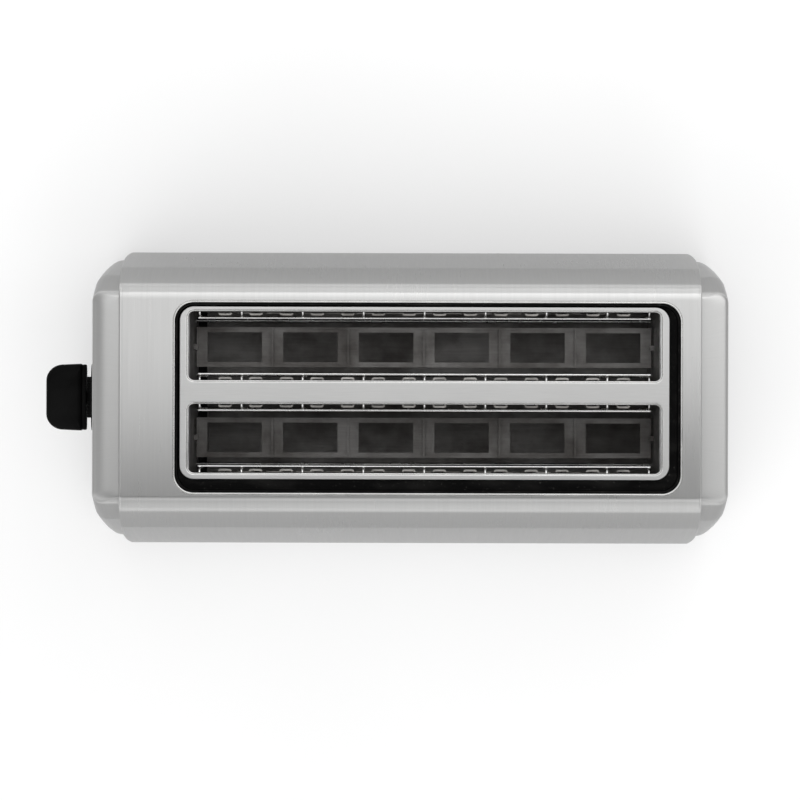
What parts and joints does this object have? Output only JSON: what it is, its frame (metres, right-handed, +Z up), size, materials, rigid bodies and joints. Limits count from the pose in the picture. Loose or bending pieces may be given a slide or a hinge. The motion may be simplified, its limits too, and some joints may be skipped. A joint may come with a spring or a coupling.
{
  "type": "electric toaster",
  "caption": "Long-slot electric toaster with a brushed steel body, black lever, browning dial and push buttons, sprung bread lift, wire bread guards and a crumb tray.",
  "frame": {"origin": "middle of the overall box, at the undersides of the feet", "axes": "+Z up, X along the slots with the lever at the -X end and the crumb tray at the +X end, +Y to the rear, where the mains inlet is"},
  "size_m": [0.4092, 0.179, 0.19],
  "materials": {
    "wrap_steel": "brushed across the slots",
    "cap_steel": "brushed along the slots",
    "plate_steel": "satin",
    "chassis_steel": "plain rolled sheet",
    "tray_steel": "plain rolled sheet",
    "wire_steel": "bright drawn wire",
    "screw_steel": "zinc plated",
    "trim_black": "fine matt grain",
    "panel_black": "satin gloss",
    "knob_black": "satin",
    "base_black": "fine grain",
    "rubber_black": "matt",
    "mica": "flaky, satin",
    "ribbon": "oxidised resistance ribbon",
    "bushing_cream": "plain",
    "laminate_green": "solder mask",
    "coil_copper": "enamelled wire"
  },
  "bodies": {
    "housing": {"wrap_shell": "wrap_steel", "left_end_cap": "cap_steel", "right_end_cap": "cap_steel", "slot_trim": "trim_black", "slot_plate": "plate_steel", "control_panel": "panel_black", "base": "base_black", "chassis_end_plate_left": "chassis_steel", "chassis_end_plate_right": "chassis_steel", "guide_rod_front": "wire_steel", "guide_rod_rear": "wire_steel", "guide_bracket": "chassis_steel", "return_spring": "wire_steel", "potentiometer": "trim_black", "circuit_board": "laminate_green", "magnet_bench": "chassis_steel", "magnet_core": "chassis_steel", "magnet_coil": "coil_copper", "cord_bushing": "rubber_black", "terminal_block": "bushing_cream", "foot_front_left": "rubber_black", "chassis_screw_front_left": "screw_steel", "foot_front_right": "rubber_black", "chassis_screw_front_right": "screw_steel", "heater_board_front_fore": "mica", "heating_ribbon_front_fore": "ribbon", "heater_board_front_aft": "mica", "heating_ribbon_front_aft": "ribbon", "foot_rear_left": "rubber_black", "chassis_screw_rear_left": "screw_steel", "foot_rear_right": "rubber_black", "chassis_screw_rear_right": "screw_steel", "heater_board_rear_fore": "mica", "heating_ribbon_rear_fore": "ribbon", "heater_board_rear_aft": "mica", "heating_ribbon_rear_aft": "ribbon", "cancel_switch": "trim_black", "reheat_switch": "trim_black", "defrost_switch": "trim_black"},
    "lift_carriage": {"carriage_bracket": "chassis_steel", "carriage_bushing_front": "bushing_cream", "carriage_bushing_rear": "bushing_cream", "magnet_armature": "chassis_steel", "bread_rack_front": "chassis_steel", "bread_rack_rear": "chassis_steel", "lever_arm": "chassis_steel", "lever_knob": "knob_black", "lever_knob_collar": "knob_black"},
    "guard_front_fore": {"bread_guard_front_fore": "wire_steel"},
    "guard_front_aft": {"bread_guard_front_aft": "wire_steel"},
    "guard_rear_fore": {"bread_guard_rear_fore": "wire_steel"},
    "guard_rear_aft": {"bread_guard_rear_aft": "wire_steel"},
    "browning_control": {"browning_dial": "knob_black", "dial_shaft": "chassis_steel"},
    "cancel_key": {"cancel_button": "knob_black"},
    "reheat_key": {"reheat_button": "knob_black"},
    "defrost_key": {"defrost_button": "knob_black"},
    "tray": {"crumb_tray": "tray_steel", "crumb_tray_handle": "base_black"}
  },
  "joints": [
    {"name": "lever_slide", "type": "slide", "parent": "housing", "child": "lift_carriage", "axis": [0, 0, -1], "range_m": [0, 0.05], "stiffness_N_per_m": 200, "springref_m": -0.04, "deforming": ["return_spring"]},
    {"name": "guard_front_fore_swing", "type": "hinge", "parent": "housing", "child": "guard_front_fore", "pos_m": [0.0207, -0.04055, 0.046], "axis": [-1, 0, 0], "range_deg": [0, 5.05]},
    {"name": "guard_front_aft_swing", "type": "hinge", "parent": "housing", "child": "guard_front_aft", "pos_m": [0.0207, -0.00755, 0.046], "axis": [1, 0, 0], "range_deg": [0, 5.05]},
    {"name": "guard_rear_fore_swing", "type": "hinge", "parent": "housing", "child": "guard_rear_fore", "pos_m": [0.0207, 0.01405, 0.046], "axis": [-1, 0, 0], "range_deg": [0, 5.05]},
    {"name": "guard_rear_aft_swing", "type": "hinge", "parent": "housing", "child": "guard_rear_aft", "pos_m": [0.0207, 0.04705, 0.046], "axis": [1, 0, 0], "range_deg": [0, 5.05]},
    {"name": "browning_dial_turn", "type": "hinge", "parent": "housing", "child": "browning_control", "pos_m": [-0.1765, 0, 0.044], "axis": [1, 0, 0], "range_deg": [-135, 135]},
    {"name": "cancel_press", "type": "slide", "parent": "housing", "child": "cancel_key", "axis": [1, 0, 0], "range_m": [0, 0.0015], "stiffness_N_per_m": 300, "springref_m": -0.001},
    {"name": "reheat_press", "type": "slide", "parent": "housing", "child": "reheat_key", "axis": [1, 0, 0], "range_m": [0, 0.0015], "stiffness_N_per_m": 300, "springref_m": -0.001},
    {"name": "defrost_press", "type": "slide", "parent": "housing", "child": "defrost_key", "axis": [1, 0, 0], "range_m": [0, 0.0015], "stiffness_N_per_m": 300, "springref_m": -0.001},
    {"name": "crumb_tray_slide", "type": "slide", "parent": "housing", "child": "tray", "axis": [1, 0, 0], "range_m": [0, 0.3]}
  ],
  "couplings": [
    {"joint": "guard_front_fore_swing", "follows": "lever_slide", "rad_per_m": 1.7453},
    {"joint": "guard_front_aft_swing", "follows": "lever_slide", "rad_per_m": 1.7453},
    {"joint": "guard_rear_fore_swing", "follows": "lever_slide", "rad_per_m": 1.7453},
    {"joint": "guard_rear_aft_swing", "follows": "lever_slide", "rad_per_m": 1.7453}
  ]
}
